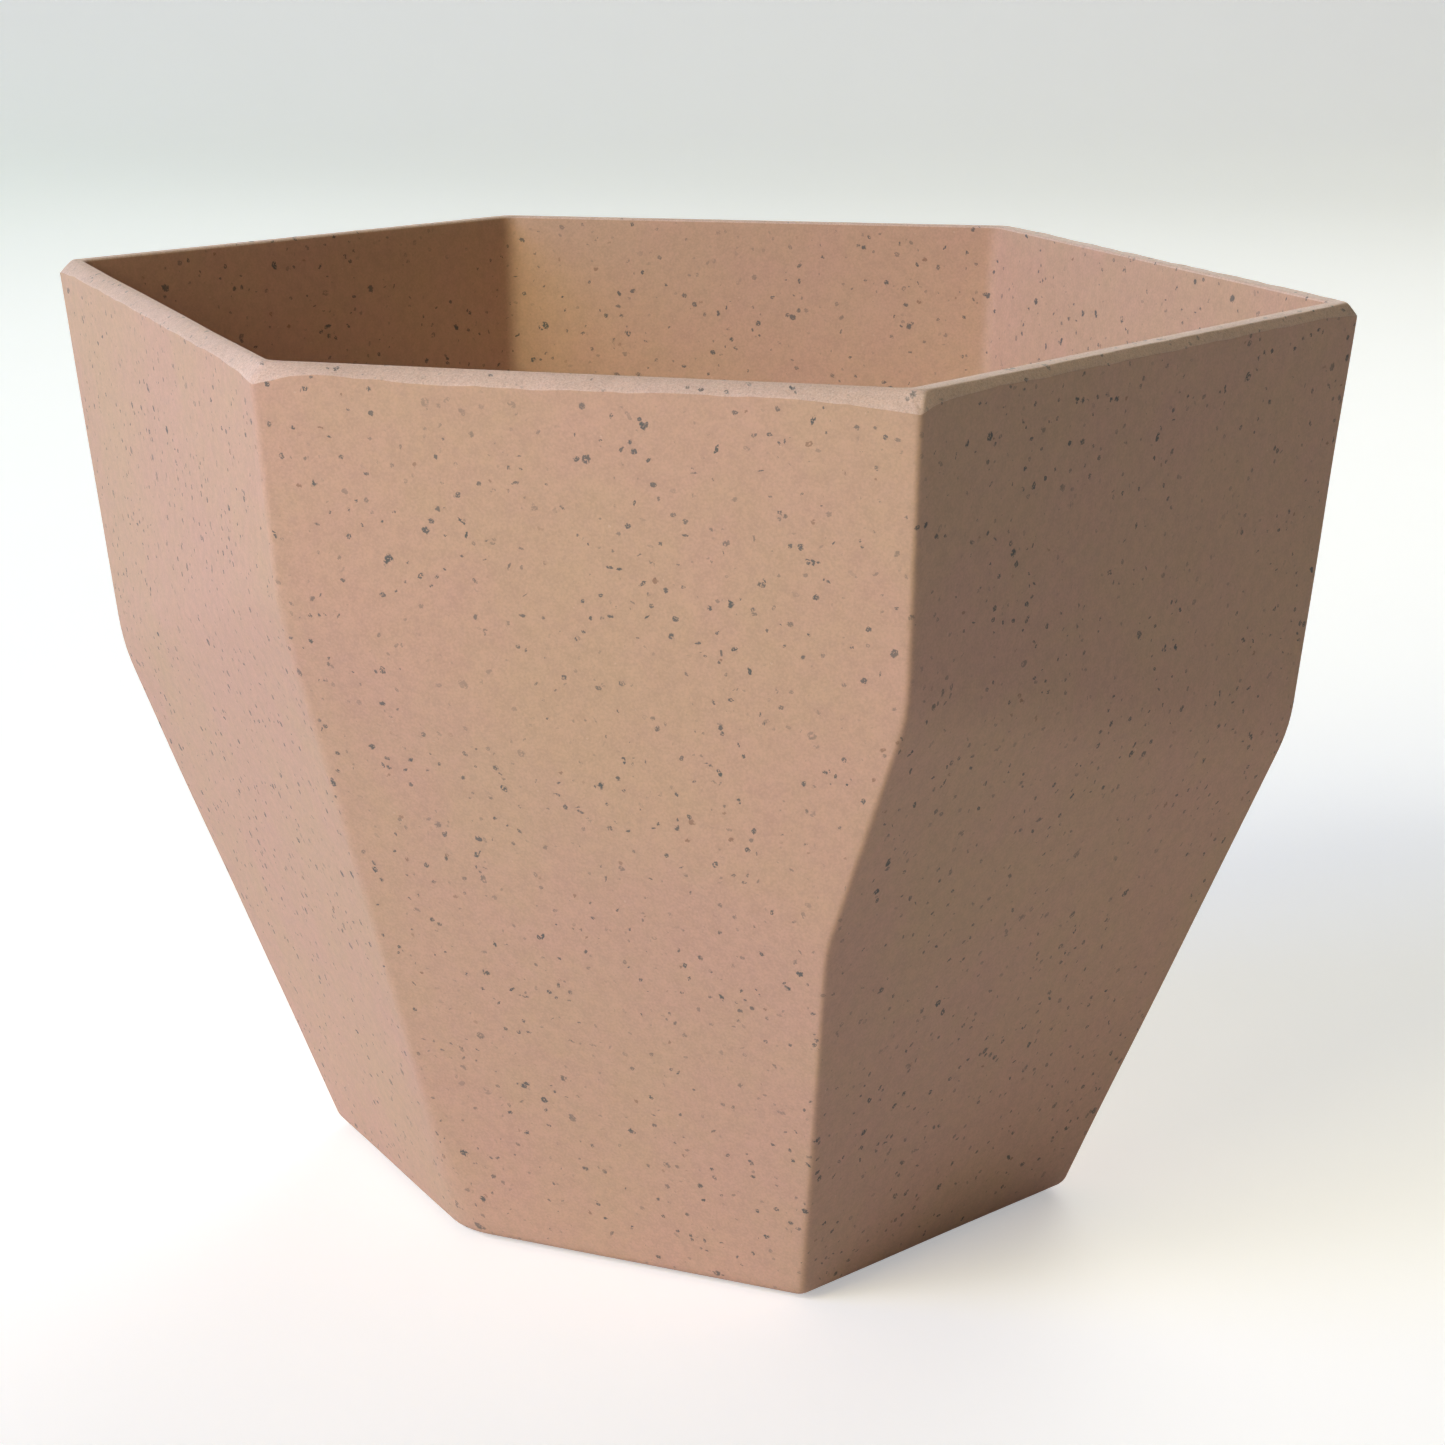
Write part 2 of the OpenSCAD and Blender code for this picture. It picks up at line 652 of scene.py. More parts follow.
def start_material(name: str) -> tuple[bpy.types.Material, Graph, bpy.types.Node, Socket]:
    """Starts a material.

    Args:
        name: Its name.

    Returns:
        The material, its graph, its Principled shader and its object coordinates.
    """
    material = bpy.data.materials.new(name)
    material.use_nodes = True
    graph = Graph(material.node_tree)
    shader = next(n for n in material.node_tree.nodes if n.type == "BSDF_PRINCIPLED")
    return material, graph, shader, graph.add("TexCoord").outputs["Object"]


@dataclass(frozen=True)
class CastComposite:
    """The pot's own body: matt sandy composite with chips of slate through it."""

    name: str = "cast_composite"
    tan: Colour = (0.602, 0.399, 0.274)
    rose: Colour = (0.622, 0.384, 0.294)
    slate: Colour = (0.115, 0.120, 0.120)
    umber: Colour = (0.230, 0.120, 0.080)
    pale: Colour = (0.760, 0.560, 0.420)
    roughness: float = 0.72
    bump: float = 0.16
    sanded: bool = False

    def build(self, shelf: EffectShelf) -> bpy.types.Material:
        """Makes the material.

        Args:
            shelf: The shared shader groups.

        Returns:
            The material.
        """
        material, g, shader, place = start_material(self.name)
        clouds = shelf.place(g, Effect.MOTTLE, place, Broad=34.0, Fine=210.0, Balance=0.35)
        pores = shelf.place(g, Effect.PORES, place, Scale=3600.0, Pinholes=0.12)
        base = g.mix(clouds.outputs["Value"], self.tan, self.rose)
        tone = g.remap(pores.outputs["Value"], 0.3, 0.7, 0.90, 1.08)
        base = self._chips(g, shelf, place, g.mix(1.0, base, g.grey(tone), "MULTIPLY"))
        if self.sanded:
            base = self._dust(g, shelf, place, base)
        g.join(base, shader.inputs["Base Color"])
        roughness = g.remap(pores.outputs["Value"], 0.3, 0.7, self.roughness - 0.07, self.roughness + 0.08)
        g.join(roughness, shader.inputs["Roughness"])
        bump = g.add("Bump", {"Strength": self.bump, "Distance": 0.00012, "Height": pores.outputs["Height"]})
        g.join(bump.outputs[0], shader.inputs["Normal"])
        shader.inputs["Specular IOR Level"].default_value = 0.35
        return material

    def _chips(
        self, g: Graph, shelf: EffectShelf, place: Socket, base: Socket
    ) -> Socket:
        """Sets chips of four sizes and colours in the body.

        Args:
            g: The material's graph.
            shelf: The shared shader groups.
            place: The surface coordinates.
            base: The body's colour.

        Returns:
            The colour with the chips in it.
        """
        crowd = g.remap(g.noise(place, 85.0, 1.0), 0.32, 0.52, 0.35, 1.0)
        for spacing, smallest, spread, share, colour, strength in (
            (0.0021, 0.048, 0.190, 0.62, self.slate, 0.94),
            (0.0012, 0.055, 0.225, 0.75, self.slate, 0.88),
            (0.0025, 0.050, 0.080, 0.40, self.umber, 0.60),
            (0.0013, 0.040, 0.070, 0.30, self.pale, 0.45),
        ):
            sizes = {"Spacing": spacing, "Smallest": smallest, "Spread": spread, "Share": share}
            chips = shelf.place(g, Effect.GRAINS, place, **sizes).outputs
            solid = g.remap(chips["Tone"], 0.05, 0.8, 0.2, 1.0)
            hollow = g.math("MULTIPLY", g.remap(chips["Tone"], 0.45, 0.2, 0.0, 1.0), chips["Core"])
            mask = g.math("MULTIPLY", chips["Mask"], g.math("MULTIPLY", solid, crowd))
            mask = g.math("MULTIPLY", mask, g.math("SUBTRACT", 1.0, g.math("MULTIPLY", hollow, 0.35)))
            base = g.mix(g.math("MULTIPLY", mask, strength), base, colour)
        return base

    def _dust(
        self, g: Graph, shelf: EffectShelf, place: Socket, base: Socket
    ) -> Socket:
        """Lays sanding strokes and dust over the body.

        Args:
            g: The material's graph.
            shelf: The shared shader groups.
            place: The surface coordinates.
            base: The body's colour.

        Returns:
            The colour with the strokes and dust on it.
        """
        strokes = shelf.place(g, Effect.SCRATCHES, place, Scale=1500.0)
        base = g.mix(g.math("MULTIPLY", strokes.outputs["Mask"], 0.30), base, self.pale)
        dust = g.noise(place, 5600.0, 2.0, 0.7)
        base = g.mix(g.math("MULTIPLY", g.remap(dust, 0.50, 0.68), 0.30), base, self.pale)
        return g.mix(g.math("MULTIPLY", g.remap(dust, 0.47, 0.32), 0.24), base, self.umber)


SANDED = CastComposite(
    name="sanded_composite",
    tan=(0.74, 0.53, 0.42),
    rose=(0.75, 0.53, 0.44),
    pale=(0.92, 0.78, 0.70),
    roughness=0.8,
    bump=0.4,
    sanded=True,
)


@dataclass(frozen=True)
class SoftRubber:
    """Dull charcoal rubber with a little dust."""

    name: str = "soft_rubber"
    dark: Colour = (0.030, 0.029, 0.028)
    dusty: Colour = (0.075, 0.068, 0.060)

    def build(self, shelf: EffectShelf) -> bpy.types.Material:
        """Makes the material.

        Args:
            shelf: The shared shader groups.

        Returns:
            The material.
        """
        material, g, shader, place = start_material(self.name)
        clouds = shelf.place(g, Effect.MOTTLE, place, Broad=160.0, Fine=900.0, Balance=0.5)
        pores = shelf.place(g, Effect.PORES, place, Scale=5200.0, Pinholes=0.05)
        dust = g.math("MULTIPLY", clouds.outputs["Value"], g.remap(pores.outputs["Value"], 0.42, 0.6))
        g.join(g.mix(dust, self.dark, self.dusty), shader.inputs["Base Color"])
        g.join(g.remap(clouds.outputs["Value"], 0.0, 1.0, 0.52, 0.72), shader.inputs["Roughness"])
        bump = g.add("Bump", {"Strength": 0.2, "Distance": 0.00008, "Height": pores.outputs["Height"]})
        g.join(bump.outputs[0], shader.inputs["Normal"])
        return material


@dataclass(frozen=True)
class PressedCork:
    """Pressed cork: light granules with darker bark between them."""

    name: str = "pressed_cork"
    light: Colour = (0.560, 0.350, 0.190)
    dark: Colour = (0.300, 0.160, 0.080)
    bark: Colour = (0.110, 0.055, 0.028)

    def build(self, shelf: EffectShelf) -> bpy.types.Material:
        """Makes the material.

        Args:
            shelf: The shared shader groups.

        Returns:
            The material.
        """
        material, g, shader, place = start_material(self.name)
        cells = g.add("TexVoronoi", {"Vector": place, "Scale": 900.0})
        granule = g.add("SeparateXYZ", {0: cells.outputs["Color"]}).outputs[0]
        base = g.mix(granule, self.light, self.dark)
        chips = shelf.place(g, Effect.GRAINS, place, Spacing=0.0014, Smallest=0.10, Spread=0.25, Share=0.5)
        base = g.mix(g.math("MULTIPLY", chips.outputs["Mask"], 0.8), base, self.bark)
        pores = shelf.place(g, Effect.PORES, place, Scale=2600.0, Pinholes=0.4)
        g.join(base, shader.inputs["Base Color"])
        shader.inputs["Roughness"].default_value = 0.9
        bump = g.add("Bump", {"Strength": 0.3, "Distance": 0.00015, "Height": pores.outputs["Height"]})
        g.join(bump.outputs[0], shader.inputs["Normal"])
        return material


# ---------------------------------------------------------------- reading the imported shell


@dataclass(frozen=True)
class FlatFace:
    """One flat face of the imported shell, in mm."""

    normal: np.ndarray
    reach: float
    area: float

    def turned(self) -> FlatFace:
        """The same face seen from its other side."""
        return FlatFace(-self.normal, -self.reach, self.area)


def in_order(faces: list[FlatFace]) -> list[FlatFace]:
    """Six faces from the left wall round by the front."""
    return sorted(faces, key=lambda f: (math.degrees(math.atan2(f.normal[1], f.normal[0])) - 180.0) % 360.0)


def at_height(points: np.ndarray, height: np.ndarray | float) -> np.ndarray:
    """Points (columns, 2) lifted to a height, or each to its own."""
    return np.concatenate([points, np.broadcast_to(height, len(points))[:, None]], axis=1)


def unit(ways: np.ndarray) -> np.ndarray:
    """Ways (columns, 2) brought to a length of one."""
    return ways / np.linalg.norm(ways, axis=1)[:, None]


class PackedShell:
    """The walls, levels and drain hole of the pot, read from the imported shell. In mm."""

    smallest_wall: float = 200.0
    smallest_recess_wall: float = 20.0
    smallest_level: float = 100.0
    upright: float = 0.03
    steepest_upper: float = 0.2
    steepest_wall: float = 0.5

    def __init__(self, node: bpy.types.Object) -> None:
        """Reads the shell.

        Args:
            node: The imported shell's object.

        Raises:
            ValueError: If the shell doesn't have six walls in two leans, inside and out.
        """
        self.points = np.array([v.co for v in node.data.vertices]) / MM
        low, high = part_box("pot_shell")
        self.foot, self.top = low.z / MM, high.z / MM
        low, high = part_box("drain_plug")
        self.centre = np.array([(low.x + high.x) / 2, (low.y + high.y) / 2]) / MM
        self.hole = float(np.linalg.norm(self.points[:, :2] - self.centre, axis=1).min())

        faces = self._faces(node.data)
        walls = [f for f in faces if abs(f.normal[2]) < self.steepest_wall]
        large = [f for f in walls if f.area > self.smallest_wall]
        self.outer = self._body(
            [f for f in large if f.normal[2] < -self.upright],
            0.7, (0.8, 0.5, 0.5, 0.6, 0.6, 0.6), (1.3, 1.9, 0.7, 1.0, 1.0, 1.2),
        )
        self.inner = self._body(
            [f.turned() for f in large if f.normal[2] > self.upright],
            1.2, (1.0,) * WALLS, (2.5,) * WALLS,
        )
        upright = [f for f in walls if abs(f.normal[2]) < self.upright]
        self.recess = in_order([f.turned() for f in upright if f.area > self.smallest_recess_wall])
        level = [f for f in faces if abs(f.normal[2]) > 0.99 and f.area > self.smallest_level]
        middle = (self.foot + self.top) / 2
        self.floor = max(f.reach for f in level if f.normal[2] > 0 and f.reach < middle)
        self.ceiling = max(-f.reach for f in level if f.normal[2] < 0)

    def _faces(self, mesh: bpy.types.Mesh) -> list[FlatFace]:
        """The flat faces, each merged from its triangles.

        Args:
            mesh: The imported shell's mesh.

        Returns:
            One face for each plane, with the area of all that lies in it.
        """
        gathered: dict[tuple, list[float]] = {}
        for polygon in mesh.polygons:
            corners = self.points[list(polygon.vertices)]
            normal = np.zeros(3)
            for i in range(1, len(corners) - 1):
                normal += np.cross(corners[i] - corners[0], corners[i + 1] - corners[0]) / 2.0
            area = float(np.linalg.norm(normal))
            if area < SLIVER:
                continue
            normal /= area
            reach = float(normal @ corners[0])
            total = gathered.setdefault((*np.round(normal, 2), round(reach)), [0.0] * 5)
            for i, value in enumerate((*(normal * area), reach * area, area)):
                total[i] += value
        merged = []
        for total in gathered.values():
            normal = np.array(total[:3]) / total[4]
            length = float(np.linalg.norm(normal))
            merged.append(FlatFace(normal / length, total[3] / total[4] / length, total[4]))
        return merged

    def _body(
        self, faces: list[FlatFace], crease: float, corner_top: Sequence[float], corner_foot: Sequence[float]
    ) -> FacetedBody:
        """A body from its twelve leaning planes.

        Args:
            faces: The planes, facing outwards.
            crease: Rounding of the crease between a wall's two planes.
            corner_top: Rounding of each corner above the foot.
            corner_foot: Rounding of each corner at the foot.

        Returns:
            The body.
        """
        upper = in_order([f for f in faces if abs(f.normal[2]) < self.steepest_upper])
        lower = in_order([f for f in faces if abs(f.normal[2]) >= self.steepest_upper])
        if len(upper) != WALLS or len(lower) != WALLS:
            raise ValueError(f"expected six walls, found {len(upper)} upper and {len(lower)} lower")
        return FacetedBody(
            np.array([f.normal for f in upper]),
            np.array([f.reach for f in upper]),
            np.array([f.normal for f in lower]),
            np.array([f.reach for f in lower]),
            crease, corner_top, corner_foot,
        )

    def recess_corners(self) -> np.ndarray:
        """Corners of the recess's outline.

        Returns:
            The corners (6, 2); corner i lies between wall i - 1 and wall i.
        """
        corners = []
        for i, wall in enumerate(self.recess):
            before = self.recess[i - 1]
            corners.append(np.linalg.solve([before.normal[:2], wall.normal[:2]], [before.reach, wall.reach]))
        return np.array(corners)

    def recess_edge(self, aim: np.ndarray, softness: float) -> np.ndarray:
        """The recess's outline with rounded corners.

        Args:
            aim: Places (columns, 2) on its sharp outline.
            softness: How far apart two walls may be and still be rounded together.

        Returns:
            The places (columns, 2) on the rounded outline.
        """

        def distance(p: np.ndarray) -> np.ndarray:
            """Signed distance to the rounded outline.

            Args:
                p: Places (..., 3).

            Returns:
                The distance of each place.
            """
            each = np.stack([p[..., :2] @ w.normal[:2] - w.reach for w in self.recess], axis=-1)
            result = np.full(p.shape[:-1], FAR_INSIDE)
            for i in range(WALLS):
                result = np.maximum(result, soft_max(each[..., i - 1], each[..., i], softness))
            return result

        return meet(distance, self.on_axis(0.0, len(aim)), at_height(aim, 0.0))[:, :2]

    def on_axis(self, height: np.ndarray | float, count: int) -> np.ndarray:
        """Points (count, 3) on the drain hole's axis, at a height or each at its own."""
        return at_height(np.tile(self.centre, (count, 1)), height)


@dataclass(frozen=True)
class Columns:
    """Where the shell's columns of points stand: wall, even share along it, and mm from its ends."""

    wall: np.ndarray
    share: np.ndarray
    offset: np.ndarray
    inset: float

    @classmethod
    def spaced(cls, near: Sequence[float], even: int) -> Columns:
        """Columns that crowd together at the corners and stand evenly between.

        Args:
            near: Distances of the crowded ones from a corner, in mm.
            even: How many stand evenly on each wall.

        Returns:
            The columns of all six walls.
        """
        crowded = (0.0, *near)
        one_wall = [(0.0, value) for value in crowded]
        one_wall += [(step / (even + 1), 0.0) for step in range(1, even + 1)]
        one_wall += [(1.0, -value) for value in crowded[:0:-1]]
        share, offset = (np.tile(values, WALLS) for values in zip(*one_wall))
        return cls(np.repeat(np.arange(WALLS), len(one_wall)), share, offset, near[-1])

    def __len__(self) -> int:
        """How many columns there are."""
        return len(self.wall)

    def on(self, corners: np.ndarray) -> tuple[np.ndarray, np.ndarray]:
        """Places of the columns on a six-cornered outline.

        Args:
            corners: The outline's corners (6, 2).

        Returns:
            The places (columns, 2), and each one's share along its wall.
        """
        start, end = corners[self.wall], corners[(self.wall + 1) % WALLS]
        length = np.linalg.norm(end - start, axis=1)
        even = self.inset + self.share * (length - 2 * self.inset)
        crowded = np.where(self.share == 0.0, self.offset, length + self.offset)
        along = np.where((self.share > 0.0) & (self.share < 1.0), even, crowded) / length
        return start + (end - start) * along[:, None], along


# ---------------------------------------------------------------- the sanded rim


@dataclass(frozen=True)
class Knots:
    """A value that changes along a wall: pairs of share 0 to 1 of the wall's length, and mm."""

    pairs: Sequence[tuple[float, float]]
    steps: int = 400
    ease: int = 5

    def along(self, share: np.ndarray) -> np.ndarray:
        """The value along the wall, eased between the knots.

        Args:
            share: Shares of the wall's length.

        Returns:
            The value at each share, in mm.
        """
        fine = np.linspace(0.0, 1.0, self.steps + 1)
        drawn = np.interp(fine, [at for at, _ in self.pairs], [value for _, value in self.pairs])
        kernel = np.hanning(2 * self.ease + 1)
        padded = np.pad(drawn, self.ease, mode="reflect", reflect_type="odd")
        return np.interp(share, fine, np.convolve(padded, kernel / kernel.sum(), mode="valid"))


@dataclass(frozen=True)
class RimSanding:
    """One wall's sanding: fall of its outer edge, width of the flat left, roundness of the slope."""

    fall: Knots
    flat: Knots
    roundness: float
    narrowest: float = 0.4

    def drop(self, inset: np.ndarray, share: np.ndarray, thickness: float) -> np.ndarray:
        """How far the sanded face lies under the rim's top.

        Args:
            inset: Level distance in from the wall's outer face, in mm.
            share: Share 0 to 1 of the way along the wall.
            thickness: The wall's thickness at the rim, in mm.

        Returns:
            The drop in mm.
        """
        left = np.clip(1.0 - inset / self.slope(share, thickness), 0.0, 1.0)
        return self.fall.along(share) * left**self.roundness

    def slope(self, share: np.ndarray | float, thickness: float) -> np.ndarray:
        """Width of the slope between the outer edge and the flat, in mm."""
        return np.clip(thickness - self.flat.along(share), self.narrowest, None)


def hand_sanding() -> list[RimSanding]:
    """The sanding of the six walls, from the left one round by the front.

    Returns:
        One sanding for each wall.
    """
    left = RimSanding(
        Knots(((0, 1.6), (0.03, 1.25), (0.12, 1.0), (0.5, 1.0), (0.86, 1.1), (0.95, 1.5), (1, 2.0))),
        Knots(((0, 0.6), (0.1, 0.8), (1, 0.6))),
        1.3,
    )
    front_fall = ((0, 2.1), (0.06, 1.15), (0.11, 0.75), (0.25, 1.27), (0.45, 1.3), (0.67, 1.07))
    front_fall += ((0.8, 1.1), (0.86, 1.2), (0.95, 1.75), (1, 2.05))
    front = RimSanding(Knots(front_fall), Knots(((0, 0.5), (1, 0.5))), 1.35)
    right_fall = ((0, 2.1), (0.03, 1.42), (0.06, 1.17), (0.13, 0.9), (0.25, 1.0), (0.9, 1.0))
    right_fall += ((0.97, 1.2), (1, 1.6))
    right = RimSanding(Knots(right_fall), Knots(((0, 1.85), (0.9, 1.9), (1, 1.6))), 1.0)
    right_back = RimSanding(
        Knots(((0, 1.5), (0.04, 1.2), (0.12, 0.85), (0.5, 1.0), (0.9, 0.9), (1, 1.5))),
        Knots(((0, 1.6), (0.1, 2.1), (0.9, 2.1), (1, 1.6))),
        1.2,
    )
    back = RimSanding(
        Knots(((0, 1.5), (0.05, 1.1), (0.15, 0.9), (0.4, 1.1), (0.7, 0.95), (0.9, 1.1), (1, 1.6))),
        Knots(((0, 1.2), (1, 1.2))),
        1.3,
    )
    left_back = RimSanding(
        Knots(((0, 1.6), (0.05, 1.1), (0.2, 0.9), (0.6, 1.0), (0.92, 1.0), (1, 1.5))),
        Knots(((0, 1.4), (1, 1.4))),
        1.3,
    )
    return [left, front, right, right_back, back, left_back]


@dataclass
class SandedRim:
    """The rim's top, sanded down on its outside: the deepest of the six walls' slopes. Sizes in mm."""

    packed: PackedShell
    columns: Columns
    sanding: Sequence[RimSanding] = field(default_factory=hand_sanding)
    blend: float = 0.05
    corner_reach: float = 4.0
    ripple_fade: float = 12.0
    ripples: Sequence[tuple[float, float, float]] = ((0.045, 0.55, 0.0), (0.035, 1.13, 1.3), (0.02, 2.3, 0.4))

    def __post_init__(self) -> None:
        """Works out the rim's corners and each wall's thickness there."""
        self.corners = self.packed.outer.corners(self.packed.top)
        self.places, self.share = self.columns.on(self.corners)
        self.thickness = [self._thickness_of(wall) for wall in range(WALLS)]

    def _thickness_of(self, wall: int) -> float:
        """A wall's thickness at the rim, measured level.

        Args:
            wall: Which wall.

        Returns:
            The thickness in mm.
        """
        middle = self.corners[[wall, (wall + 1) % WALLS]].mean(axis=0)
        normal, reach = self.packed.inner.upper_normal[wall], self.packed.inner.upper_reach[wall]
        past = float(np.array([*middle, self.packed.top]) @ normal - reach)
        return past / float(np.linalg.norm(normal[:2]))

    def drop(self, places: np.ndarray) -> np.ndarray:
        """How far the sanded rim lies under its top.

        Args:
            places: Places (columns, 2) on the rim.

        Returns:
            The drop at each place.
        """
        raised = at_height(places, self.packed.top)
        deepest = np.zeros(len(places))
        for i, sanding in enumerate(self.sanding):
            along = self.corners[(i + 1) % WALLS] - self.corners[i]
            share = np.clip((places - self.corners[i]) @ along / (along @ along), 0.0, 1.0)
            normal = self.packed.outer.upper_normal[i]
            inset = (self.packed.outer.upper_reach[i] - raised @ normal) / np.linalg.norm(normal[:2])
            deepest = soft_max(deepest, sanding.drop(inset, share, self.thickness[i]), self.blend)
        return deepest

    def edge(self) -> np.ndarray:
        """The sanding's lower edge, with small ripples that fade at the corners.

        Returns:
            Its height on each column.
        """
        fade = smooth_step(self.share * self.ripple_fade) * smooth_step((1 - self.share) * self.ripple_fade)
        place = self.share * 80.0 + self.columns.wall * 37.0
        ripple = sum(height * np.sin(place * pace + start) for height, pace, start in self.ripples)
        return self.packed.top - self.drop(self.places) - fade * ripple

    def ridge(self, width: np.ndarray, furthest: np.ndarray) -> np.ndarray:
        """How far in the slope ends on each column, led to one shared value at each corner.

        Args:
            width: Width of the rim on each column.
            furthest: The most that the ridge may be in from the outer edge.

        Returns:
            The ridge's distance in from the outer edge.
        """
        wall, share = self.columns.wall, self.share
        thickness = np.array(self.thickness)[wall]
        slope = np.array([self.sanding[i].slope(s, t) for i, s, t in zip(wall, share, thickness)])
        ridge = np.clip(width * (slope / thickness), 0.3, furthest - 0.15)
        length = np.linalg.norm(np.roll(self.corners, -1, axis=0) - self.corners, axis=1)[wall]
        ends = [ridge[wall == i][[0, -1]] for i in range(WALLS)]
        shared = np.array([(ends[i - 1][1] + ends[i][0]) / 2 for i in range(WALLS)])
        corner = shared[np.where(share < 0.5, wall, (wall + 1) % WALLS)]
        away = smooth_step(np.minimum(share, 1.0 - share) * length / self.corner_reach)
        return corner + (ridge - corner) * away


# ---------------------------------------------------------------- the pot


@dataclass
class PotShell:
    """The cast shell: twelve outer faces, sanded rim, cavity, drain hole and foot ring. Sizes in mm."""

    node: bpy.types.Object
    foot_crown: float = 1.15
    inner_edge: float = 0.35
    outer_edge: float = 0.16
    floor_fillet: float = 3.2
    hole_edge: float = 0.4
    recess_corner: float = 1.6
    even_columns: int = 42
    corner_columns: Sequence[float] = (0.25, 0.5, 0.8, 1.15, 1.6, 2.2, 3.0, 4.2)
    wall_rows: int = 96
    rim_rows: int = 7
    inner_rows: int = 54
    height_steps: int = 9
    # Rings of the recess's step: mm out from its edge, and share of its depth
    recess_step: Sequence[tuple[float, float]] = (
        (-2.0, 1.0), (-0.8, 1.0), (-0.35, 0.97), (-0.1, 0.86), (0.0, 0.66),
        (0.0, 0.25), (0.07, 0.1), (0.2, 0.02), (0.4, 0.0),
    )
    # Rings round the foot's edge and the floor's: mm up the walls, or under 0 for mm in from them
    foot_turn: Sequence[float] = (-2.6, -1.8, -1.3, -0.9, -0.6, -0.3, 0.0, 0.25, 0.55, 0.9, 1.3, 1.8, 2.5)
    floor_turn: Sequence[float] = (3.8, 2.6, 1.5, 0.6, 0.0, -0.8, -1.8, -3.0, -4.5)
    swell: Swell = field(default_factory=lambda: Swell(height=0.05, length=26.0, seed=11))

    def __post_init__(self) -> None:
        """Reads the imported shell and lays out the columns."""
        self.packed = PackedShell(self.node)
        self.columns = Columns.spaced(self.corner_columns, self.even_columns)
        self.rim = SandedRim(self.packed, self.columns)
        self.recess_places, _ = self.columns.on(self.packed.recess_corners())
        self.bearing = unit(self.recess_places - self.packed.centre)

    def _outer_distance(self, p: np.ndarray) -> np.ndarray:
        """Signed distance to the outer body with its foot, slightly uneven."""
        body = self.packed.outer.distance(p) + self.swell.at(p)
        return soft_max(body, self.packed.foot - p[..., 2], self.foot_crown)

    def _inner_distance(self, p: np.ndarray) -> np.ndarray:
        """Signed distance to the cavity with its floor, slightly uneven."""
        body = self.packed.inner.distance(p) + self.swell.at(p * 1.07 + 9.0)
        return soft_max(body, self.packed.floor - p[..., 2], self.floor_fillet)

    def _wall_ring(self, body: FacetedBody, height: np.ndarray, distance: Distance) -> np.ndarray:
        """One ring up a body's walls.

        Args:
            body: The outer body or the cavity.
            height: Height of each column's point.
            distance: Signed distance to the body's rounded surface.

        Returns:
            The ring (columns, 3).
        """
        lowest, highest = float(height.min()), float(height.max())
        if highest - lowest < LEVEL:
            aim, _ = self.columns.on(body.corners(lowest))
        else:
            grid = np.linspace(lowest, highest, self.height_steps)
            outlines = np.stack([self.columns.on(body.corners(z))[0] for z in grid])
            place = (height - lowest) / (highest - lowest) * (self.height_steps - 1)
            index = np.clip(place.astype(int), 0, self.height_steps - 2)
            part = (place - index)[:, None]
            each = np.arange(len(height))
            aim = outlines[index, each] * (1 - part) + outlines[index + 1, each] * part
        return meet(distance, self.packed.on_axis(height, len(height)), at_height(aim, height))

    def _edge_rings(
        self, body: FacetedBody, distance: Distance, level: float, eye: float, steps: Sequence[float]
    ) -> list[np.ndarray]:
        """Rings round the edge between a body's walls and its level end.

        Args:
            body: The outer body or the cavity.
            distance: Signed distance to the body's rounded surface.
            level: Height of the level end.
            eye: How far above that end the point lies that the edge is seen from.
            steps: For each ring, mm up the walls, or under 0 for mm in from them.

        Returns:
            The rings.
        """
        start = self.packed.on_axis(level + eye, len(self.columns))
        rings = []
        for step in steps:
            rise, back = max(step, 0.0), max(-step, 0.0)
            aim, _ = self.columns.on(body.corners(level + rise))
            aim = aim + unit(self.packed.centre - aim) * back
            rings.append(meet(distance, start, at_height(aim, level + rise)))
        return rings

    def _hole_ring(self, out: float, height: float) -> np.ndarray:
        """One ring round the drain hole, some mm out from it."""
        return at_height(self.packed.centre + self.bearing * (self.packed.hole + out), height)

    def _underside(self) -> list[np.ndarray]:
        """Rings from the drain hole's lower edge across the recess to the foot ring.

        Returns:
            The rings.
        """
        packed, edge = self.packed, self.hole_edge
        rings = [
            self._hole_ring(edge * out, packed.ceiling + edge * rise)
            for out, rise in ((0.0, 1.0), (0.3, 0.75), (1.0, 0.0))
        ]
        start = rings[-1][:, :2]
        recess = packed.recess_edge(self.recess_places, self.recess_corner)
        way = recess + self.bearing * self.recess_step[0][0] - start
        for share in (0.25, 0.5, 0.75):
            rings.append(at_height(start + way * share, packed.ceiling))
        depth = packed.ceiling - packed.foot
        for out, rise in self.recess_step:
            rings.append(at_height(recess + self.bearing * out, packed.foot + depth * rise))
        return rings

    def _outside(self, edge: np.ndarray) -> list[np.ndarray]:
        """Rings round the foot's edge and up the outer walls.

        Args:
            edge: Height of the sanding's lower edge on each column.

        Returns:
            The rings.
        """
        outer, foot = self.packed.outer, self.packed.foot
        rings = self._edge_rings(outer, self._outer_distance, foot, 12.0, self.foot_turn)
        first, last = foot + 3.6, edge - 0.35
        heights = [first + (last - first) * step for step in np.linspace(0.0, 1.0, self.wall_rows)]
        heights += [edge - self.outer_edge, edge - 0.04]
        return rings + [self._wall_ring(outer, height, self._outer_distance) for height in heights]

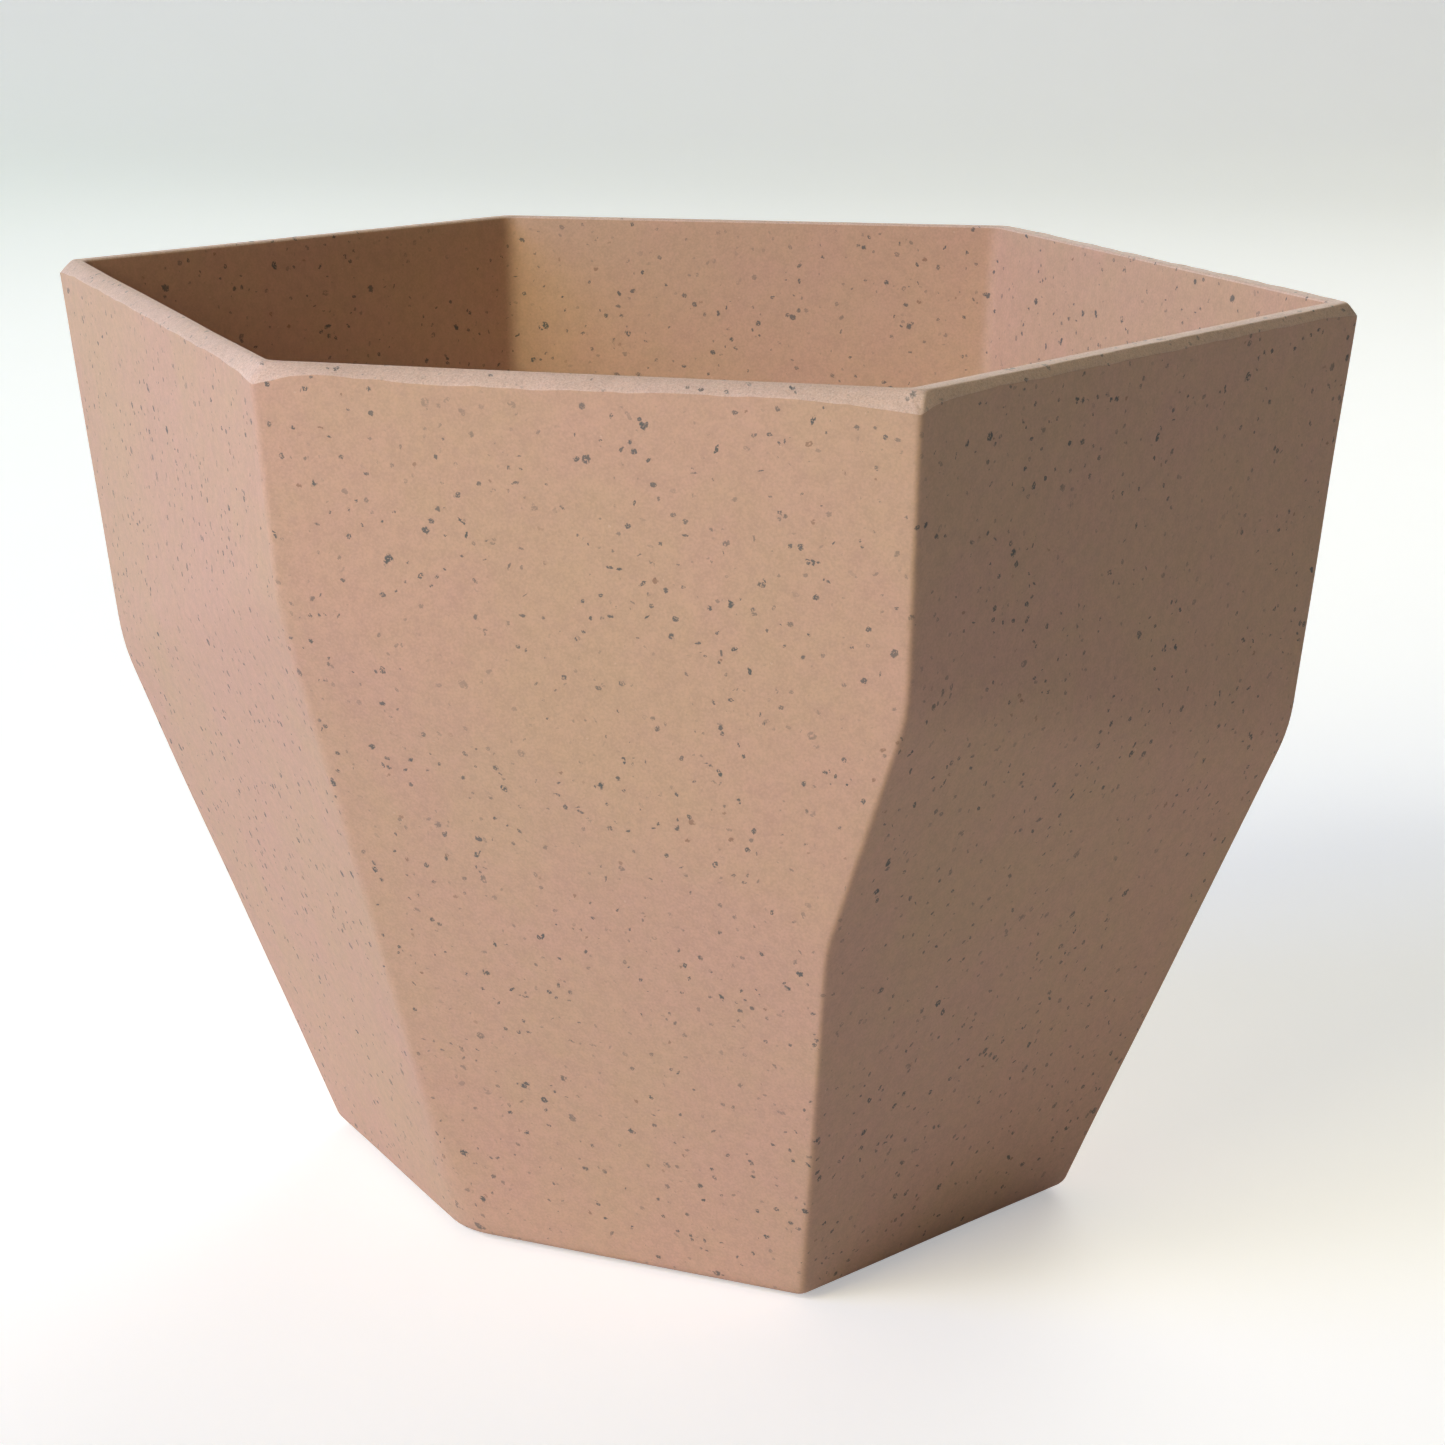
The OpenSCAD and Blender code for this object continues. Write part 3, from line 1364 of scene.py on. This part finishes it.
    def _sanded_top(self, edge: np.ndarray) -> list[np.ndarray]:
        """Rings across the sanded rim, from its outer edge over the ridge to the rounded inner edge.

        Args:
            edge: Height of the sanding's lower edge on each column.

        Returns:
            The rings.
        """
        packed, rim, top = self.packed, self.rim, self.packed.top
        outside = self._wall_ring(packed.outer, edge, self._outer_distance)[:, :2]
        level = np.full(len(edge), top - self.inner_edge)
        inside = self._wall_ring(packed.inner, level, self._inner_distance)[:, :2]
        width = np.linalg.norm(inside - outside, axis=1)
        across = unit(inside - outside)
        lift = top - edge - rim.drop(outside)

        def ring(back: np.ndarray, under: float = 0.0) -> np.ndarray:
            """One ring on the rim.

            Args:
                back: How far in from the outer edge it lies.
                under: How far below the sanded face.

            Returns:
                The ring (columns, 3).
            """
            place = outside + across * back[:, None]
            fade = np.clip(1.0 - back / 1.5, 0.0, 1.0)
            return at_height(place, top - rim.drop(place) - lift * fade - under)

        rings = [ring(np.full(len(edge), back), under) for back, under in ((0.04, 0.035), (0.12, 0.01))]
        flat_end = width - self.inner_edge
        ridge = rim.ridge(width, flat_end)
        for part in np.linspace(0.0, 1.0, self.rim_rows + 1)[1:]:
            rings.append(ring(0.12 + (ridge - 0.16) * part))
        for part in np.linspace(0.0, 1.0, self.rim_rows):
            rings.append(ring(ridge + 0.04 + (flat_end - ridge - 0.04) * part))
        for turn in (0.25, 0.5, 0.75):
            angle = turn * math.pi / 2
            back = width - self.inner_edge * (1 - math.sin(angle))
            rings.append(ring(back, self.inner_edge * (1 - math.cos(angle))))
        return rings

    def _inside(self) -> list[np.ndarray]:
        """Rings down the cavity, over its floor and into the drain hole.

        Returns:
            The rings.
        """
        inner, floor, edge = self.packed.inner, self.packed.floor, self.hole_edge
        first, last = self.packed.top - self.inner_edge, floor + self.floor_fillet + 2.0
        rings = []
        for step in np.linspace(0.0, 1.0, self.inner_rows) ** 1.05:
            height = np.full(len(self.columns), first + (last - first) * step)
            rings.append(self._wall_ring(inner, height, self._inner_distance))
        rings += self._edge_rings(inner, self._inner_distance, floor, 25.0, self.floor_turn)
        start = rings[-1][:, :2]
        brim = self._hole_ring(edge, floor)[:, :2]
        for part in (0.25, 0.5, 0.75, 1.0):
            rings.append(at_height(start + (brim - start) * part, floor))
        rings.append(self._hole_ring(edge * 0.3, floor - edge * 0.3))
        rings.append(self._hole_ring(0.0, floor - edge))
        rings.append(self._hole_ring(0.0, (floor + self.packed.ceiling) / 2))
        return rings

    def dress(self, shelf: EffectShelf) -> bpy.types.Object:
        """Makes the shell's object with its two finishes.

        Args:
            shelf: The shared shader groups.

        Returns:
            The finished piece.
        """
        edge = self.rim.edge()
        below = self._underside() + self._outside(edge)
        sanded = self._sanded_top(edge)
        mesh = closed_grid("pot_shell_cast", np.stack(below + sanded + self._inside()))
        piece = add_object("pot_shell_cast", mesh, (CastComposite().build(shelf), SANDED.build(shelf)))
        finish = np.zeros(len(mesh.polygons), np.int32)
        columns = len(self.columns)
        finish[(len(below) - 1) * columns:(len(below) + len(sanded) - 1) * columns] = 1
        mesh.polygons.foreach_set("material_index", finish)
        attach(piece, "pot")
        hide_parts("pot_shell")
        return piece


@dataclass
class DrainPlug:
    """The rubber bung in the drain hole: flange, ribbed stem and pull knob. Sizes in mm."""

    node: bpy.types.Object
    columns: int = 96
    neck: float = 2.25
    head_height: float = 2.5
    ribs: int = 3
    rib_pitch: float = 1.15
    rib_depth: float = 0.35

    def profile(self) -> tuple[list[tuple[float, float]], Vector]:
        """The bung's profile and the point on its axis that heights start from.

        Returns:
            The (radius, height) pairs from the knob's top down to the stem's end, and the point in metres.
        """
        low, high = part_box("drain_plug")
        centre = Vector(((low.x + high.x) / 2, (low.y + high.y) / 2, 0.0))
        points = np.array([v.co for v in self.node.data.vertices]) / MM
        radius = np.linalg.norm(points[:, :2] - np.array(centre)[:2] / MM, axis=1)
        levels = sorted({round(float(z), 3) for z in points[:, 2]})
        widest = {z: float(radius[np.abs(points[:, 2] - z) < 0.01].max()) for z in levels}
        bottom, top = levels[0], levels[-1]
        stem, knob, flange = widest[bottom], widest[top], max(widest.values())
        at_flange = [z for z in levels if widest[z] > flange - 0.2]
        under, over = min(at_flange), max(at_flange)
        neck, head = self.neck, top - self.head_height
        # Radius, height and rounding of each corner
        corners = [
            (0.0, top, 0), (knob * 0.55, top, 0.6), (knob, top - 0.5, 0.6), (knob, head + 0.4, 0.5),
            (neck, head - 0.5, 0.5), (neck, over + 0.6, 0.6), (neck + 1.0, over, 0.8),
            (flange - 2.6, over - 0.25, 0.7), (flange - 1.4, over, 0.5), (flange, over - 0.5, 0.4),
            (flange, under + 0.2, 0.3), (flange - 0.6, under, 0.3), (stem, under, 0.15),
            (stem, under - 0.5, 0.2),
        ]
        for rib in range(self.ribs):
            start = under - 0.5 - rib * self.rib_pitch
            groove = stem - self.rib_depth
            corners += [(groove, start - 0.3, 0.12), (groove, start - 0.7, 0.12)]
            corners += [(stem, start - 1.0, 0.12), (stem, start - self.rib_pitch, 0.12)]
        corners += [(stem - 0.8, bottom, 0.4), (0.0, bottom, 0)]
        places, roundings = [(r, z) for r, z, _ in corners], [rounding for _, _, rounding in corners]
        return rounded_profile(places, roundings), centre

    def dress(self, shelf: EffectShelf) -> bpy.types.Object:
        """Makes the bung's object in dull rubber.

        Args:
            shelf: The shared shader groups.

        Returns:
            The finished piece.
        """
        profile, centre = self.profile()
        mesh = spun_mesh("drain_plug_bung", profile, centre, self.columns)
        piece = add_object("drain_plug_bung", mesh, (SoftRubber().build(shelf),))
        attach(piece, "plug")
        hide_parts("drain_plug")
        return piece


@dataclass
class FootPads:
    """Six pressed cork discs in the underside's recess. Sizes in mm."""

    nodes: Sequence[str]
    columns: int = 72
    wobble: float = 0.05
    waves: Sequence[int] = (5, 9, 14, 23)
    first_seed: int = 40

    def dress(self, shelf: EffectShelf) -> list[bpy.types.Object]:
        """Makes the six discs, each slightly different at its cut edge.

        Args:
            shelf: The shared shader groups.

        Returns:
            The finished pieces.
        """
        cork = PressedCork().build(shelf)
        made = []
        for number, node in enumerate(self.nodes):
            low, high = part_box(node)
            centre = Vector(((low.x + high.x) / 2, (low.y + high.y) / 2, 0.0))
            radius = (high.x - low.x) / 2 / MM
            name = f"cork_pad_{number + 1}"
            mesh = spun_mesh(name, self._profile(radius, low.z / MM, high.z / MM), centre, self.columns)
            self._roughen(mesh, centre, radius, number)
            piece = add_object(name, mesh, (cork,))
            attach(piece, "pot")
            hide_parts(node)
            made.append(piece)
        return made

    @staticmethod
    def _profile(radius: float, bottom: float, top: float) -> list[tuple[float, float]]:
        """One disc's profile, with a slightly worn edge.

        Args:
            radius: The disc's radius.
            bottom: Height of its underside.
            top: Height of its top.

        Returns:
            The (radius, height) pairs from the top's middle to the underside's.
        """
        corners = [
            (0.0, top), (radius * 0.5, top), (radius - 0.1, top), (radius, top - 0.15),
            (radius, bottom + 0.35), (radius - 0.35, bottom), (radius * 0.5, bottom), (0.0, bottom),
        ]
        return rounded_profile(corners, [0, 0, 0.1, 0.1, 0.3, 0.3, 0, 0])

    def _roughen(self, mesh: bpy.types.Mesh, centre: Vector, radius: float, number: int) -> None:
        """Pulls the cut edge in and out by less than the wobble, never past the disc's radius.

        Args:
            mesh: The disc's mesh.
            centre: Point on its axis, in metres.
            radius: The disc's radius.
            number: Which disc it is.
        """
        rng = np.random.default_rng(self.first_seed + number)
        phases = rng.uniform(0, 2 * math.pi, len(self.waves))
        for vertex in mesh.vertices:
            away = vertex.co - centre
            away.z = 0.0
            if away.length < radius * MM * 0.8:
                continue
            turn = math.atan2(away.y, away.x)
            wave = sum(math.sin(turn * k + p) for k, p in zip(self.waves, phases)) / len(self.waves)
            vertex.co += away.normalized() * (wave - 1) * self.wobble * 0.5 * MM


# ---------------------------------------------------------------- studio


@dataclass(frozen=True)
class SoftLight:
    """One large lamp, aimed at the pot."""

    name: str
    place: tuple[float, float, float]
    width: float
    height: float
    power: float
    colour: Colour = (1.0, 1.0, 1.0)
    spread: float = 180.0


@dataclass
class Studio:
    """Pale floor, soft lamps and the camera. Lengths in metres, angles in degrees, lens in mm."""

    lens: float = 91.156
    sensor: float = 36.0
    camera_place: tuple[float, float, float] = (0.00021, -0.39998, 0.15754)
    yaw: float = 0.6229
    pitch: float = -14.6269
    roll: float = -0.0915
    aim: tuple[float, float, float] = (0.0, 0.0, 0.05)
    floor_reach: float = 6.0
    sweep_start: float = 1.2
    sweep_radius: float = 0.6
    sweep_top: float = 3.0
    surround: Colour = (0.95, 0.97, 1.0)
    surround_power: float = 0.03
    floor_lift: float = 0.42
    backdrop: float = 0.75
    mirrored: float = 0.2
    lights: Sequence[SoftLight] = (
        SoftLight("window", (-1.05, -0.95, 0.85), 0.9, 0.9, 20.8, (1.0, 0.91, 0.59)),
        SoftLight("side_window", (-1.35, -0.45, 0.70), 0.9, 0.9, 12.2, (0.22, 0.36, 1.0)),
        SoftLight("left_card", (-0.95, 0.95, 0.30), 0.9, 0.5, 1.9, (0.42, 1.0, 0.70)),
        SoftLight("right_card", (1.05, 0.2, 0.12), 0.9, 0.24, 0.5, (0.90, 0.80, 1.0)),
        SoftLight("back_card", (0.5, 0.9, 0.9), 0.9, 0.9, 1.9, (1.0, 1.0, 0.57)),
        SoftLight("rear_card", (0.3, 1.3, 0.40), 1.0, 0.3, 1.1, (1.0, 1.0, 1.0), 50.0),
    )

    def camera(self) -> None:
        """Places the camera and makes it the scene's."""
        yaw, pitch, roll = (math.radians(x) for x in (self.yaw, self.pitch, self.roll))
        forward = Vector((math.sin(yaw) * math.cos(pitch), math.cos(yaw) * math.cos(pitch), math.sin(pitch)))
        right = Vector((math.cos(yaw), -math.sin(yaw), 0.0))
        up = right.cross(forward)
        right, up = (
            right * math.cos(roll) + up * math.sin(roll),
            up * math.cos(roll) - right * math.sin(roll),
        )
        data = bpy.data.cameras.new("camera")
        data.sensor_fit, data.sensor_width, data.lens = "HORIZONTAL", self.sensor, self.lens
        data.clip_start, data.clip_end = 0.01, 50.0
        turned = Matrix((right, up, -forward)).transposed().to_4x4()
        camera = bpy.data.objects.new("camera", data)
        camera.matrix_world = Matrix.Translation(Vector(self.camera_place)) @ turned
        bpy.context.scene.collection.objects.link(camera)
        bpy.context.scene.camera = camera

    def _seen(self, graph: Graph) -> Socket:
        """How much of the pale surround shows.

        Args:
            graph: The graph that it is added to.

        Returns:
            One where it is looked at, `mirrored` where a surface mirrors it, zero where it only lights.
        """
        path = graph.add("LightPath")
        mirrored = graph.math("MULTIPLY", path.outputs["Is Glossy Ray"], self.mirrored)
        return graph.math("MAXIMUM", path.outputs["Is Camera Ray"], mirrored)

    def floor(self) -> bpy.types.Object:
        """Makes a pale sweep: a floor that curves up into a backdrop.

        Returns:
            The sweep.
        """
        reach, start, radius = self.floor_reach, self.sweep_start, self.sweep_radius
        profile = [(-reach, 0.0), (start, 0.0)]
        for angle in np.linspace(0.1, math.pi / 2, 12):
            profile.append((start + radius * math.sin(angle), radius * (1 - math.cos(angle))))
        profile.append((start + radius, self.sweep_top))
        points, faces = [], []
        for y, z in profile:
            points += [(-reach, y, z), (reach, y, z)]
        for i in range(len(profile) - 1):
            faces.append((2 * i, 2 * i + 1, 2 * i + 3, 2 * i + 2))
        mesh = bpy.data.meshes.new("pale_floor")
        mesh.from_pydata(points, [], faces)
        mesh.shade_smooth()
        material, g, shader, place = start_material("pale_paper")
        tone = g.noise(place, 30.0, 2.0)
        g.join(g.mix(tone, (0.80, 0.80, 0.80), (0.83, 0.83, 0.83)), shader.inputs["Base Color"])
        shader.inputs["Roughness"].default_value = 0.9
        shader.inputs["Emission Color"].default_value = (1.0, 1.0, 1.0, 1.0)
        seen = g.math("MULTIPLY", self._seen(g), self.floor_lift)
        g.join(seen, shader.inputs["Emission Strength"])
        sweep = add_object("pale_floor", mesh, (material,))
        return sweep

    def lamps(self) -> None:
        """Adds the soft lamps and the even light of the room."""
        for light in self.lights:
            data = bpy.data.lights.new(light.name, "AREA")
            data.shape, data.size, data.size_y = "RECTANGLE", light.width, light.height
            data.energy, data.color, data.spread = light.power, light.colour, math.radians(light.spread)
            lamp = bpy.data.objects.new(light.name, data)
            lamp.location = light.place
            lamp.rotation_mode = "QUATERNION"
            lamp.rotation_quaternion = (Vector(self.aim) - Vector(light.place)).to_track_quat("-Z", "Y")
            bpy.context.scene.collection.objects.link(lamp)
        world = bpy.data.worlds.new("room")
        world.use_nodes = True
        sky = next(n for n in world.node_tree.nodes if n.type == "BACKGROUND")
        g = Graph(world.node_tree)
        seen = self._seen(g)
        strength = g.math("ADD", self.surround_power, g.math("MULTIPLY", seen, self.backdrop))
        g.join(strength, sky.inputs["Strength"])
        sky.inputs["Color"].default_value = (*self.surround, 1.0)
        bpy.context.scene.world = world

    def build(self) -> None:
        """Builds the floor, lamps, camera and plain colour rendering."""
        self.camera()
        self.floor()
        self.lamps()
        bpy.context.scene.view_settings.view_transform = "Standard"


def main() -> None:
    """Builds every piece in order."""
    logging.basicConfig(level=logging.INFO, format="%(name)s: %(message)s")
    for left_over in list(bpy.data.objects):
        bpy.data.objects.remove(left_over)
    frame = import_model()
    Studio().build()
    LOG.info("studio ready")
    shelf = EffectShelf()
    shell = PotShell(frame["nodes"]["pot_shell"]).dress(shelf)
    LOG.info("%s: %d faces", shell.name, len(shell.data.polygons))
    plug = DrainPlug(frame["nodes"]["drain_plug"]).dress(shelf)
    LOG.info("%s: %d faces", plug.name, len(plug.data.polygons))
    pads = FootPads(sorted(n for n in frame["nodes"] if n.startswith("foot_pad"))).dress(shelf)
    for pad in pads:
        LOG.info("%s: %d faces", pad.name, len(pad.data.polygons))


if __name__ == "__main__":
    main()
